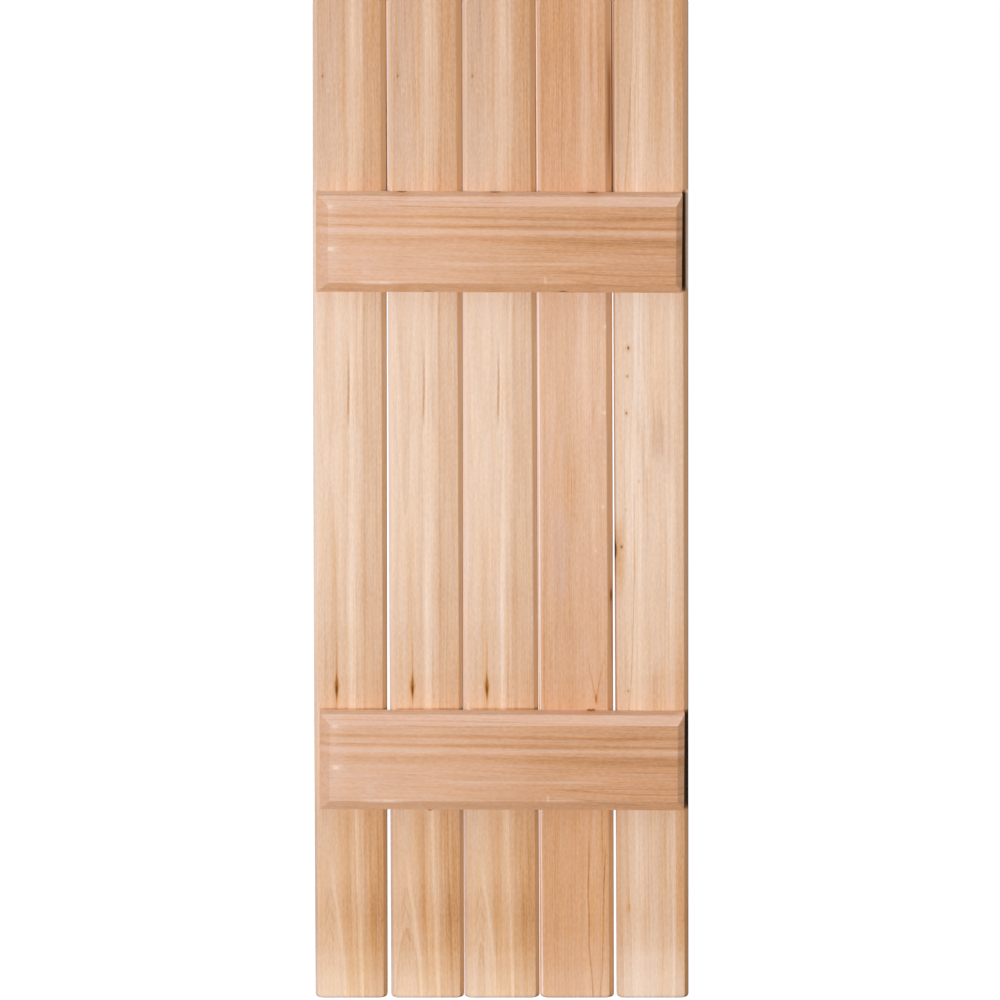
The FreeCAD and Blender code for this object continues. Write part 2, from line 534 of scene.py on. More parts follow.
def knotty_plank_marks(across, along):
    """The fifth board: pin knots in a row, a swirl beside them, and a knot at the left edge."""
    line, band, pin, _ = mark_shapes(across, along)
    return [
        (line(10, (11, 370), (11, 450), (12, 560), (12, 660), (12, 680)), 0.16, 0.2),
        (line(9, (-13, 340), (-14, 400), (-13, 480), (-12, 560), (-12, 700), (-12, 720)), -0.12, -0.1),
        (band(6, -6, 370, 430, 600, 700), -0.10, 0.0),
        (line(
            1.5, (-31, 360), (-30, 385), (-26, 440), (-23, 500), (-21, 570), (-21, 640), (-21, 660),
        ), 0.34, 0.1),
        (line(1.3, (-18, 370), (-18, 400), (-18, 490), (-16, 530), (-17, 570), (-17, 600)), 0.26, 0.1),
        (band(3, -36, 360, 400, 490, 530), 0.04, -0.6),
        (band(3, 26, 360, 420, 640, 680), -0.10, 0.0),
        (band(8, 34, 440, 490, 600, 640), 0.08, 0.4),
        (band(10, -16, 80, 120, 240, 300), -0.05, -0.5),
        (pin(2.0, 3.4, (-26.5, 189)), 1.05, 0.0),
        (pin(1.6, 2.4, (-28, 155)), 0.80, 0.0),
        (pin(1.8, 2.8, (-29, 110)), 0.90, 0.5),
        (pin(1.2, 2.4, (-14, 27)), 0.40, 0.8),
        (pin(1.0, 2.0, (-30, -8)), 0.40, 0.2),
        (band(3, -14.5, 160, 180, 200, 220), 0.12, 0.0),
        (line(2.6, (-6.5, 35), (-6, 50), (-4, 70), (-5, 100), (-8, 140), (-9, 165)), -0.18, -0.1),
        (pin(11, 42, (8.5, 82)), 0.26, -0.1),
        (line(2.4, (2, 40), (3, 60), (4, 90), (3, 118), (1, 140)), 0.14, 0.0),
        (line(2.4, (13, 40), (14, 62), (13, 95), (11, 120), (9, 140)), 0.12, 0.0),
        (line(6, (-6, -70), (-6, 0), (-7, 30), (-10, 60), (-13, 90), (-16, 115)), 0.18, 0.0),
        (band(16, 9, 90, 120, 230, 270), 0.05, 0.3),
        (band(7, -25.5, -90, -50, 60, 100), -0.12, -0.1),
        (pin(3.4, 15.0, (-43.5, -57)), 0.95, 0.1),
        (band(12, -39, -120, -85, -40, -10), 0.36, 0.6),
        (pin(1.4, 2.4, (-35.5, -53)), 1.05, 0.3),
        (band(1.6, -20, -110, -80, -42, 0, 30), 0.34, 0.1),
        (line(
            1.5, (-28, -285), (-27, -252), (-26, -240), (-23.5, -200), (-22, -170), (-21, -120), (-20, -80),
            (-20, -40),
        ), 0.34, 0.2),
        (pin(1.2, 2.4, (-28, -230)), 0.65, 0.3),
        (line(4, (24, -220), (23, -130), (22.5, -60), (22, 20), (22, 60)), -0.20, -0.1),
        (band(5.5, 4, -290, -245, -215, -190), 0.26, 0.1),
        (band(9, 13, -310, -250, -220, -180), 0.10, 0.4),
        (band(10, 33, -320, -250, -190, -130), 0.10, 0.4),
        (band(5, -18.5, -500, -470, -390, -350), -0.10, -0.1),
        (pin(4.5, 8.0, (-28, -498)), 0.16, 0.4),
        (band(8, -10, -560, -538, -510, -490), 0.14, 0.2),
        (line(6, (14, -640), (14, -590), (14, -540), (15, -470), (15, -400), (15, -340)), 0.15, 0.4),
        (band(8, 0, -640, -600, -400, -340), -0.09, 0.0),
        (band(7, 35, -590, -550, -400, -340), 0.12, 0.4),
        (band(3, 27, -640, -600, -400, -340), -0.12, -0.1),
        (band(2.5, -40, -640, -600, -390, -340), 0.08, 0.6),
        (band(80, 0, -660, -620, -420, -320), -0.04, -0.45),
    ]


def plank_edge_marks(across, along):
    """On the left chamfer: a dull foot, and a dull head with a painted highlight along its arris."""
    band = partial(streak, across, along)
    return [
        (band(3.5, -42.5, -640, -600, -380, -320), 0.28, -0.8),
        (band(3.0, -41.2, 370, 400, 640, 660), 0.28, 0.3),
        # Painted highlight along the left arris at the head.
        (band(1.3, -44.8, 370, 400, 640, 660), -0.5, 0.0),
    ]


def red_plank_edge_marks(across, along):
    """On the chamfers: a dark patch at the upper right, a painted highlight on the right arris at the head,
    and a painted highlight up the whole left arris.
    """
    line, band, _, _ = mark_shapes(across, along)
    return [
        (band(5, 42.5, 380, 445, 515, 560), 0.5, 0.0),
        # Painted highlights on the right arris at the head and up the left arris.
        (band(1.0, 45.0, 380, 430, 640, 660), -0.9, -0.4),
        (line(
            1.6, (-41.4, -640), (-41.4, -600), (-42.6, -160), (-42.7, 120), (-43.6, 430), (-44.2, 600),
            (-44.3, 640),
        ), -0.85, -0.5),
    ]


def knotty_plank_edge_marks(across, along):
    """On the chamfers: painted shade along the left arris, painted shadows beside the right ends of the
    battens, and painted light on the outer chamfer past the upper one.
    """
    line, band, _, _ = mark_shapes(across, along)
    return [
        # Painted shade along the left arris, where the gap is closed.
        (line(
            1.8, (-42.4, -420), (-42.4, -300), (-43.6, 120), (-43.2, 430), (-42.9, 600), (-42.9, 660),
        ), 0.75, 0.1),
        # Painted shadows beside the ends of the battens, and painted light on the outer chamfer past the
        # upper one.
        (band(4.0, 39.6, 256, 264, 374, 381), 2.15, 0.9),
        (band(4.4, 45.2, 256, 264, 374, 381), -2.1, 0.2),
        (band(7.5, 42.2, -376, -368, -260, -252), 1.95, 0.0),
    ]


# How the tone runs up each plank, across it from left to right, and up its right chamfer.
# The tones at the outer left edges and up the right chamfers are partly painted light and shade: the right
# chamfers darker, as the side turned from the key, the left edges paler where lit, and darker where the
# fifth board's edge lies in shade.
PLANK_TONE_UP = [
    (-610, 0.02), (-590, 0.11), (-565, 0.28), (-540, 0.46), (-505, 0.57), (-455, 0.48),
    (-400, 0.52), (-225, 0.51), (-175, 0.44), (-125, 0.32), (-75, 0.25), (0, 0.22),
    (225, 0.19), (300, 0.34), (390, 0.58), (450, 0.62), (510, 0.71), (610, 0.76),
]
PLANK_TONE_ACROSS = [
    (-46, -0.35), (-43, -0.20), (-40.5, 0.05), (-30, 0.10), (-12, 0.05), (-5, 0.12), (2, 0.0),
    (7, 0.10), (13, 0.18), (17, 0.42), (22, 0.35), (34, 0.39), (46, 0.43),
]
CHAMFER_TONE_UP = [
    (-610, 0.82), (-400, 0.84), (-200, 0.90), (-60, 0.84), (200, 0.80), (390, 0.96), (610, 1.04),
]
RED_PLANK_TONE_UP = [
    (-610, 0.42), (-590, 0.52), (-560, 0.70), (-520, 0.82), (-400, 0.86), (-225, 0.78),
    (-175, 0.75), (-75, 0.65), (25, 0.60), (125, 0.53), (175, 0.54), (225, 0.58),
    (390, 0.82), (480, 0.88), (540, 0.93), (610, 0.93),
]
RED_PLANK_TONE_ACROSS = [
    (-46, -0.45), (-43.5, -0.25), (-42, 0.06), (-38, 0.09), (-4, 0.09),
    (4, 0.06), (12, 0.0), (34, 0.01), (46, 0.03),
]
RED_CHAMFER_TONE_UP = [(-610, 0.84), (-250, 0.92), (0, 0.92), (230, 0.84), (500, 1.02), (610, 0.96)]
KNOTTY_PLANK_TONE_UP = [
    (-610, 0.0), (-590, 0.03), (-565, 0.15), (-535, 0.36), (-505, 0.44), (-400, 0.43),
    (-225, 0.35), (-175, 0.26), (-125, 0.21), (-75, 0.16), (0, 0.12), (175, 0.12),
    (225, 0.13), (390, 0.40), (480, 0.49), (535, 0.55), (610, 0.61),
]
KNOTTY_PLANK_TONE_ACROSS = [
    (-46, 0.32), (-42, 0.32), (-39, 0.28), (-34, 0.22), (-29, 0.20), (-25, 0.08), (-20, 0.0), (-13, 0.0),
    (-8, 0.10), (-3, 0.20), (22, 0.20), (26, 0.12), (30, 0.34), (36, 0.45), (46, 0.50),
]
KNOTTY_CHAMFER_TONE_UP = [(-610, 1.08), (-400, 1.0), (-100, 0.90), (610, 0.88)]
PLANK_TONE_SHIFT = -0.05
BEHIND_SHOULDER = (-16.0, -12.0)
BEFORE_SHOULDER = (-12.8, -14.0)
SHADED_FOOT = (-605.5, -608.5)


def growth_rings(radius, along, seed, unevenness, spacing, run, faintest, strongest):
    """Late wood at the end of each year's growth, and rings that are fainter in some years."""
    uneven = mottle(radius / 9, along / 900, seed + 3) * unevenness
    years = (radius + uneven) / spacing
    late_wood = years.math("FRACT").math("POWER", 3.0)
    yearly = mottle(years * 0.37, seed, along / run, 1.0)
    return late_wood, late_wood * yearly.between(0.3, 0.7, faintest, strongest)


def fine_grain(drawn, along, through):
    """Long fibres and short flecks, both above and below 0."""
    fibres = mottle(drawn * 0.62, along / 75, through * 0.62, 4.0, 0.65) - 0.5
    flecks = mottle(drawn / 1.7, along / 6.0, through / 1.7, 2.0, 0.6) - 0.5
    return fibres, flecks


def add_marks(tone, warmth, marks):
    """Tone and warmth with what every mark adds to them."""
    for shape, darker, warmer in marks:
        tone = shape.times(darker, tone)
        warmth = shape.times(warmer, warmth)
    return tone, warmth


def cedar_plank(
    name, tones, tone_up, tone_across, left_share, left_tone, right_tone_up, right_warmth, pith, taper,
    marks, edge_marks,
):
    """Planed cedar: growth rings about a pith, fine fibres, and the plank's own streaks and knots.

    A length that is divided by a number draws a pattern of about that many millimetres.
    """
    material, tree, shader = new_material(name, WOOD_SPECULAR)
    (across, through, along), (faces_right, faces_back, faces_up) = wood_place(tree)
    chance = tree.nodes.new("ShaderNodeValue")
    chance.name = "chance"
    seed = Grain(chance.outputs[0])
    wander = (mottle(along / 330, across / 150, seed) - 0.5) * 7
    shiver = (mottle(along / 45, across / 12, seed + 7) - 0.5) * 0.9
    drawn = across + wander + shiver

    radius = (drawn - pith[0]).distance(through - pith[1])
    radius = radius - along.between(-640, -330, taper, 0)
    late_wood, rings = growth_rings(radius, along, seed, 9, 2.6, 700, 0.04, 0.24)
    fibres, flecks = fine_grain(drawn, along, through)
    cloud = mottle(drawn / 6, along / 150, through / 6, 2.0) - 0.5

    tone = along.curve(tone_up) + across.curve(tone_across) + PLANK_TONE_SHIFT
    tone = fibres.times(0.52, tone) + rings
    tone = flecks.times(0.55, cloud.times(0.34, tone))
    warmth = (mottle(drawn / 5, along / 110, seed + 9, 3.0) - 0.5).times(1.8, 0.32)
    warmth = warmth + along.between(-120, -480, 0.2, 0.75)
    # The chamfers are moved to their own tones, which are partly painted light and shade: darker right
    # chamfers on the side turned from the key, and paler left edges where the light falls.
    on_left = faces_right.between(-0.3, -0.55)
    on_right = faces_right.between(0.3, 0.55)
    tone = tone.toward(left_tone, on_left * along.between(-300, 300, 0.4 * left_share, left_share))
    tone = tone.toward(fibres.times(0.5, along.curve(right_tone_up)), on_right)
    warmth = on_left.times(-0.6, on_right.times(right_warmth, warmth))
    tone, warmth = add_marks(tone, warmth, marks(across + shiver, along))
    on_chamfer = through.between(*BEFORE_SHOULDER)
    chamfer_marks = [(shape * on_chamfer, *adds) for shape, *adds in edge_marks(across, along)]
    tone, warmth = add_marks(tone, warmth, chamfer_marks)

    # Painted shade on the boards' right sides and painted light on their left sides, as seen in the gaps.
    tone = faces_right.between(0.74, 0.92).times(0.45, faces_right.between(-0.74, -0.92).times(-0.2, tone))
    # Painted shade: a thin, greyer, darker line along the front of each foot.
    foot_shade = along.between(*SHADED_FOOT)
    tone = foot_shade.times(0.28, tone)
    warmth = foot_shade.times(-1.5, warmth)
    # Painted shade on the sides behind the chamfers, where they stand in the gaps; the sawn back is
    # darkened the same way.
    gap_shade = through.between(*BEHIND_SHOULDER) * faces_up.size().between(0.3, 0.6, 1, 0)
    tone = gap_shade.times(0.35, tone)
    end_grain = faces_up.size().between(0.5, 0.85)
    tone = end_grain * rings.times(2.0, 0.25) + tone
    sawn_back = faces_back.between(0.6, 0.9)
    saw_marks = mottle(across / 60, along * 0.9, seed, 1.0) - 0.5
    tone = sawn_back * saw_marks.times(0.25, 0.12) + tone
    stain(tree, shader, tone, warmth, tones)
    sheen = fibres.times(0.25, late_wood.times(-0.10, 0.64))
    tree.links.new(sheen.socket, shader.inputs["Roughness"])
    relief(tree, shader, fibres.times(0.5, rings) + sawn_back * saw_marks * 3.0, GRAIN_RELIEF)
    return material


PLANKS = {
    "like_plank": dict(
        tones=CEDAR_TONES, tone_up=PLANK_TONE_UP, tone_across=PLANK_TONE_ACROSS,
        left_share=0.6, left_tone=0.05, right_tone_up=CHAMFER_TONE_UP, right_warmth=0.7,
        pith=(-24, 44), taper=2, marks=plank_marks, edge_marks=plank_edge_marks,
    ),
    "red_plank": dict(
        tones=RED_CEDAR_TONES, tone_up=RED_PLANK_TONE_UP, tone_across=RED_PLANK_TONE_ACROSS,
        left_share=0.3, left_tone=0.3, right_tone_up=RED_CHAMFER_TONE_UP, right_warmth=0.4,
        pith=(-95, 30), taper=0, marks=red_plank_marks, edge_marks=red_plank_edge_marks,
    ),
    "knotty_plank": dict(
        tones=CEDAR_TONES, tone_up=KNOTTY_PLANK_TONE_UP, tone_across=KNOTTY_PLANK_TONE_ACROSS,
        left_share=0.4, left_tone=0.3, right_tone_up=KNOTTY_CHAMFER_TONE_UP, right_warmth=0.2,
        pith=(-60, 70), taper=1, marks=knotty_plank_marks, edge_marks=knotty_plank_edge_marks,
    ),
}
BOARD_FINISHES = {
    "left_board": ("like_plank", 1.0, OUTER_EDGE_BOW, "board_cedar"),
    "left_middle_board": ("like_plank", 2.0, 0.0, "board_cedar"),
    "middle_board": ("like_plank", 3.0, 0.0, "board_cedar"),
    "right_middle_board": ("red_plank", 4.0, 0.0, "red_board_cedar"),
    "right_board": ("knotty_plank", 5.0, 0.0, "board_cedar"),
}

plank_materials = {name: cedar_plank("cedar_" + name, **plank) for name, plank in PLANKS.items()}
boards = {}
for node in BOARD_NODES:
    plank, seed, bow, slot = BOARD_FINISHES[node]
    foot, head = board_edges(node)
    low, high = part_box(node)
    lean = math.atan2(sum(head) / 2 - sum(foot) / 2, high.z - low.z)
    middle = ((sum(foot) + sum(head)) / 4, 0, 0)
    material = plank_materials[plank].copy()
    material.name = "cedar_" + node
    material.node_tree.nodes["chance"].outputs[0].default_value = seed
    settle_wood(material.node_tree, middle, -lean)
    board = new_piece("planed_" + node, planed_board(node, seed, bow), material)
    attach(board, "root")
    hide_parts(node)
    boards[node] = board
for material in plank_materials.values():
    bpy.data.materials.remove(material)


# Cross battens: two lengths of thicker cedar laid level across the boards' fronts.
# A wide bevel is planed round all four sides of the front and meets in mitres at the corners.
# They are screwed from behind, and their back edges are a little torn where the saw came out.
BATTEN_NODES = ["upper_batten", "lower_batten"]
BEVEL_DEPTH = 0.0066
END_BEVELS = {"upper_batten": (0.0147, 0.0072), "lower_batten": (0.0117, 0.0080)}
TOP_BEVEL = 0.0126
BOTTOM_BEVEL = 0.0114
BATTEN_ARRIS = 0.0006
BATTEN_TILT = math.radians(0.2)
MERGE_REACH = 0.00001
TORN_TOP = (0.0055, 0.0022, 0.0016)
TORN_BOTTOM = (0.0035, 0.0013, 0.0011)
TORN_TOP_PLACES = {"upper_batten": [-0.1155, -0.0048, 0.1108], "lower_batten": [0.1068]}
TORN_BOTTOM_PLACES = {"upper_batten": [-0.0847, 0.0764], "lower_batten": [-0.0870]}
TORN_TOP_SHADE = (14.0, 8.5)
TORN_BOTTOM_SHADE = (1.3, 3.5)
TORN_SHADE_DEPTH = {"upper_batten": 1.6, "lower_batten": 0.6}
TORN_SHADE_WARMTH = 1.2
TOP_SIDE_PAINTED_LIGHT = {"upper_batten": -0.80, "lower_batten": -0.62}
BOTTOM_BEVEL_PAINTED_SHADE = {"upper_batten": (0.24, -0.04), "lower_batten": (0.09, -0.03)}
DULL_ARRIS = {"upper_batten": (56.2, 57.2, 0.40), "lower_batten": (57.4, 58.2, 0.30)}


def heal(mesh):
    """Merges points that lie together, drops faces without area, and turns all faces outward."""
    bmesh.ops.remove_doubles(mesh, verts=mesh.verts[:], dist=MERGE_REACH)
    bmesh.ops.dissolve_degenerate(mesh, edges=mesh.edges[:], dist=MERGE_REACH)
    bmesh.ops.recalc_face_normals(mesh, faces=mesh.faces[:])


def plane_off(mesh, point, normal):
    """Takes off all wood beyond a plane, and closes the cut with one flat face."""
    cut = bmesh.ops.bisect_plane(
        mesh, geom=mesh.verts[:] + mesh.edges[:] + mesh.faces[:],
        plane_co=point, plane_no=normal, clear_outer=True,
    )["geom_cut"]
    bmesh.ops.contextual_create(mesh, geom=[part for part in cut if isinstance(part, bmesh.types.BMEdge)])


def bevelled_batten(node):
    """A sawn block, bevelled along each front edge and eased, that hangs a little out of level."""
    low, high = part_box(node)
    left_bevel, right_bevel = END_BEVELS[node]
    mesh = bmesh.new()
    bmesh.ops.create_cube(mesh, size=1)
    bmesh.ops.scale(mesh, verts=mesh.verts[:], vec=high - low)
    bmesh.ops.translate(mesh, verts=mesh.verts[:], vec=(low + high) / 2)
    plane_off(mesh, (low.x + left_bevel, low.y, low.z), (-BEVEL_DEPTH, -left_bevel, 0))
    plane_off(mesh, (high.x - right_bevel, low.y, low.z), (BEVEL_DEPTH, -right_bevel, 0))
    plane_off(mesh, (low.x, low.y, high.z - TOP_BEVEL), (0, -TOP_BEVEL, BEVEL_DEPTH))
    plane_off(mesh, (low.x, low.y, low.z + BOTTOM_BEVEL), (0, -BOTTOM_BEVEL, -BEVEL_DEPTH))
    bmesh.ops.bevel(
        mesh, geom=mesh.edges[:], offset=BATTEN_ARRIS, segments=2, profile=0.5, affect="EDGES", material=-1,
    )
    heal(mesh)
    tilt = Matrix.Rotation(BATTEN_TILT, 3, "Y")
    bmesh.ops.rotate(mesh, verts=mesh.verts[:], cent=(low + high) / 2, matrix=tilt)
    return mesh


def carve(piece, cutter_mesh):
    """Takes the cutter's shape out of a piece for good."""
    cutter = new_piece(piece.name + "_cutter", cutter_mesh, piece.data.materials[0])
    cut = piece.modifiers.new("cut", "BOOLEAN")
    cut.operation = "DIFFERENCE"
    cut.solver = "EXACT"
    cut.object = cutter
    depsgraph = bpy.context.evaluated_depsgraph_get()
    carved = bpy.data.meshes.new_from_object(piece.evaluated_get(depsgraph))
    piece.modifiers.remove(cut)
    healed = bmesh.new()
    healed.from_mesh(carved)
    heal(healed)
    bmesh.ops.triangulate(healed, faces=[face for face in healed.faces if len(face.verts) > 4])
    healed.to_mesh(carved)
    healed.free()
    whole = piece.data
    piece.data = carved
    carved.name = whole.name
    bpy.data.meshes.remove(whole)
    cutter_data = cutter.data
    bpy.data.objects.remove(cutter)
    bpy.data.meshes.remove(cutter_data)


def torn_spots(node):
    """Ragged splinters missing along the back top edge and the front lower edge of a batten."""
    low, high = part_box(node)
    chance = random.Random(node)
    middle = (low.x + high.x) / 2
    mesh = bmesh.new()
    lower_arris = low.y + BEVEL_DEPTH
    spots = [(x, high.y, high.z, TORN_TOP) for x in TORN_TOP_PLACES[node]]
    spots += [(x, lower_arris, low.z, TORN_BOTTOM) for x in TORN_BOTTOM_PLACES[node]]
    for x, y, z, size in spots:
        place = Vector((middle + x, y, z))
        ball = bmesh.ops.create_icosphere(mesh, subdivisions=2, radius=1)["verts"]
        for vertex in ball:
            vertex.co = place + vertex.co * Vector(size) * chance.uniform(0.75, 1.25)
    bmesh.ops.recalc_face_normals(mesh, faces=mesh.faces[:])
    return mesh


GRAIN_SINK = 0.018
BATTEN_PITH = (-150, 40)
BATTEN_TONES = [
    (-0.3, (250, 232, 217)), (0.0, (240, 212, 192)), (0.5, (225, 186, 160)), (1.0, (206, 155, 117)),
    (1.5, (162, 112, 72)), (2.2, (96, 58, 33)), (3.0, (36, 22, 12)),
]
BATTEN_TONE_ALONG = [
    (-222, 0.60), (-200, 0.62), (-180, 0.65), (-100, 0.68), (-20, 0.79),
    (60, 0.92), (100, 0.94), (160, 0.97), (222, 1.00),
]


def batten_marks(across, along):
    """Level lines of late wood that sink a little to the right, scuffs, and chips by the left bevel."""
    level, band, chip, _ = mark_shapes(across, along)
    return [
        (level(
            4.0, (34.5, -260), (34, -190), (33, -60), (31.5, 20), (30, 120), (30, 260), (30, 300),
        ), 0.26, 0.3),
        (level(
            4.0, (24, -260), (23.5, -190), (22, -80), (20.5, 0), (19, 100), (18, 230), (18, 300),
        ), 0.24, 0.3),
        (level(6.0, (17, -260), (16.5, -190), (14.5, -40), (13, 120), (12, 230), (12, 300)), -0.16, -0.2),
        (level(9.0, (7, -260), (6, -170), (4.5, -20), (3, 100), (1, 230), (0, 300)), 0.18, 0.2),
        (level(12.0, (-1, 20), (-3, 90), (-4, 200), (-4, 300)), 0.08, 0.2),
        (level(1.3, (53.5, -230), (53, -190), (51.5, -100), (50, 0), (49, 60)), 0.22, 0.0),
        (level(1.3, (46.5, -140), (46, -105), (45, -85), (44, -40), (44, 40)), 0.26, 0.0),
        (level(3.0, (-23, -80), (-23.5, -40), (-23.5, 60), (-24, 110), (-25, 135)), -0.22, -0.1),
        (level(2.2, (-32, 55), (-34, 85), (-37, 125), (-39, 165), (-39, 240), (-39, 300)), 0.22, 0.3),
        (level(1.6, (-42, 80), (-45, 95), (-49, 120), (-51, 150), (-52, 180)), 0.16, -0.2),
        (level(1.4, (-30, 110), (-31, 150), (-32, 220), (-32, 260)), 0.12, 0.1),
        (level(1.4, (-26, -210), (-26, -190), (-25.5, -165), (-25, -140)), -0.12, 0.0),
        (level(3.6, (-46.0, -172), (-46.5, -160), (-46.8, -130), (-46, -105)), -0.30, -0.2),
        (chip(2.4, 9.0, (-46.5, -137)), -0.22, -0.2),
        (streak(along, across, 3.0, 55, -49, -46, -42, -38), -0.28, -0.1),
        (band(1.6, -46.5, 50, 58, 80, 100), -0.20, -0.1),
        (chip(3.2, 5.0, (45, -201)), -0.36, -0.2),
        (chip(3.2, 6.0, (-5.5, -200)), -0.40, -0.2),
        (chip(9.0, 8.0, (-32, -158)), -0.08, -0.3),
        (level(90.0, (-10, -225), (-10, -207), (-12, -196), (-12, -185)), -0.05, -0.3),
    ]


def torn_shade_marks(through, across, along, node):
    """Painted shade in the torn hollows on the top side and along the lower edge, where splinters came
    away.
    """
    top = partial(knot, through, along)
    bottom = partial(knot, across, along)
    low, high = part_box(node)
    back = (high.y - low.y) / 2 * MM_PER_METRE
    foot = (low.z - high.z) / 2 * MM_PER_METRE
    marks = [top(*TORN_TOP_SHADE, (back, x * MM_PER_METRE)) for x in TORN_TOP_PLACES[node]]
    return marks + [bottom(*TORN_BOTTOM_SHADE, (foot, x * MM_PER_METRE)) for x in TORN_BOTTOM_PLACES[node]]


def cedar_batten(name, seed, node):
    """Planed cedar with its grain level and darker to the right, with painted light and shade by facing:
    the top bevel and top side paler, the bottom and left bevels darker.
    """
    material, tree, shader = new_material(name, WOOD_SPECULAR)
    (along, through, across), (faces_right, faces_back, faces_up) = wood_place(tree)
    wander = (mottle(along / 260, across / 90, seed) - 0.5) * 5
    shiver = (mottle(along / 40, across / 10, seed + 7) - 0.5) * 0.8
    drawn = across + along * GRAIN_SINK + wander + shiver
    radius = (drawn - BATTEN_PITH[0]).distance(through - BATTEN_PITH[1])
    late_wood, rings = growth_rings(radius, along, seed, 8, 2.4, 500, 0.03, 0.18)
    fibres, flecks = fine_grain(drawn, along, through)
    cloud = mottle(drawn / 6, along / 120, through / 6, 2.0) - 0.5

    field = along.curve(BATTEN_TONE_ALONG)
    top_bevel = faces_up.between(0.2, 0.4) * faces_up.between(0.7, 0.85, 1, 0)
    # Painted light: the top bevel, which faces up, is given a paler tone.
    field = top_bevel.times(-0.85, 1.0) * field + top_bevel * 0.42
    tone = fibres.times(0.56, field) + rings
    tone = flecks.times(0.48, cloud.times(0.28, tone))
    warmth = (mottle(drawn / 5, along / 110, seed + 9, 3.0) - 0.5).times(1.6, 0.5)
    # Painted shade in the torn hollows, darker and warmer.
    torn_shade = [(shape, TORN_SHADE_DEPTH[node], TORN_SHADE_WARMTH) for shape in torn_shade_marks(through, across, along, node)]
    tone, warmth = add_marks(tone, warmth, batten_marks(across + shiver, along) + torn_shade)
    on_left = faces_right.between(-0.2, -0.35)
    on_right = faces_right.between(0.3, 0.5)
    top_side = faces_up.between(0.85, 0.95)
    bottom_bevel = faces_up.between(-0.2, -0.4) * faces_up.between(-0.85, -0.7)
    # Painted light and shade by facing: the top side paler, the left bevel darker and the right bevel a
    # touch paler.
    tone = on_left.times(0.20, on_right.times(-0.06, top_side.times(TOP_SIDE_PAINTED_LIGHT[node], tone)))
    # Painted shade on the bottom bevel, strongest towards the left.
    bevel_left, bevel_right = BOTTOM_BEVEL_PAINTED_SHADE[node]
    tone = bottom_bevel * along.between(-180, 180, bevel_left, bevel_right) + tone
    arris_from, arris_to, arris_tone = DULL_ARRIS[node]
    dull_arris = top_bevel * along.times(math.tan(BATTEN_TILT), across).between(arris_from, arris_to)
    tone = dull_arris.times(arris_tone, faces_up.between(-0.75, -0.95).times(0.4, tone))
    tone = faces_right.size().between(0.75, 0.95).times(0.4, tone)
    # The painted light and shade on the bevels and the top side shift their warmth as well.
    warmth = bottom_bevel.times(0.3, on_left.times(-0.4, on_right.times(0.1, warmth)))
    warmth = top_side.times(0.6, top_bevel.times(-0.3, warmth))
    stain(tree, shader, tone, warmth, BATTEN_TONES)
    sheen = fibres.times(0.25, late_wood.times(-0.10, 0.62))
    tree.links.new(sheen.socket, shader.inputs["Roughness"])
    relief(tree, shader, fibres.times(0.5, rings), GRAIN_RELIEF)
    return material


for order, node in enumerate(BATTEN_NODES):
    low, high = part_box(node)
    material = cedar_batten("cedar_" + node, 11.0 + order, node)
    settle_wood(material.node_tree, (low + high) / 2, 0)
    batten = new_piece("bevelled_" + node, bevelled_batten(node), material)
    carve(batten, torn_spots(node))
    batten.data.shade_flat()
    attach(batten, "root")
    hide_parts(node)


# Screws: twenty zinc-plated wood screws with star-drive heads, two where a board crosses a batten.
# They are driven from behind through the boards into the battens, each in its own countersunk hole.
# Their heads lie just below the backs of the boards.
SCREW_OFFSETS = [(-0.018, 0.031), (0.018, -0.031)]
HEAD_RADIUS = 0.0043
SHANK_RADIUS = 0.0022
HEAD_DEPTH = 0.0030
HEAD_SUNK = 0.0004
SINK_CLEARANCE = 0.0004
SINK_OVERRUN = 0.0010
DRIVE_RADIUS = 0.0021
DRIVE_DEPTH = 0.0016
DRIVE_TAPER = 0.0001
DRIVE_LOBES = 6
LOBE_SWELL = 0.16
HEAD_SIDES = 24
ZINC_RELIEF = 0.00002
ZINC_SPECULAR = 0.5
OUTWARD = Matrix.Rotation(-math.pi / 2, 4, "X")


def screw_places(node):
    """Where the screws enter the back of one board."""
    foot, head = board_edges(node)
    low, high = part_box(node)
    places = []
    for batten in BATTEN_NODES:
        batten_low, batten_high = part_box(batten)
        batten_middle = (batten_low.z + batten_high.z) / 2
        for aside, up in SCREW_OFFSETS:
            z = batten_middle + up
            rise = (z - low.z) / (high.z - low.z)
            centre = sum(foot) / 2 + (sum(head) - sum(foot)) / 2 * rise
            places.append(Vector((centre + aside, high.y, z)))
    return places


def countersinks(places):
    """Cones that a countersink bit cuts, run a little out of the back of the board."""
    mesh = bmesh.new()
    flare = (HEAD_RADIUS - SHANK_RADIUS) / HEAD_DEPTH
    bottom = HEAD_SUNK + HEAD_DEPTH + SINK_CLEARANCE
    for place in places:
        bmesh.ops.create_cone(
            mesh, cap_ends=True, segments=HEAD_SIDES, depth=bottom + SINK_OVERRUN,
            radius1=SHANK_RADIUS, radius2=SHANK_RADIUS + flare * (bottom + SINK_OVERRUN),
            matrix=Matrix.Translation(place + Vector((0, (SINK_OVERRUN - bottom) / 2, 0))) @ OUTWARD,
        )
    return mesh


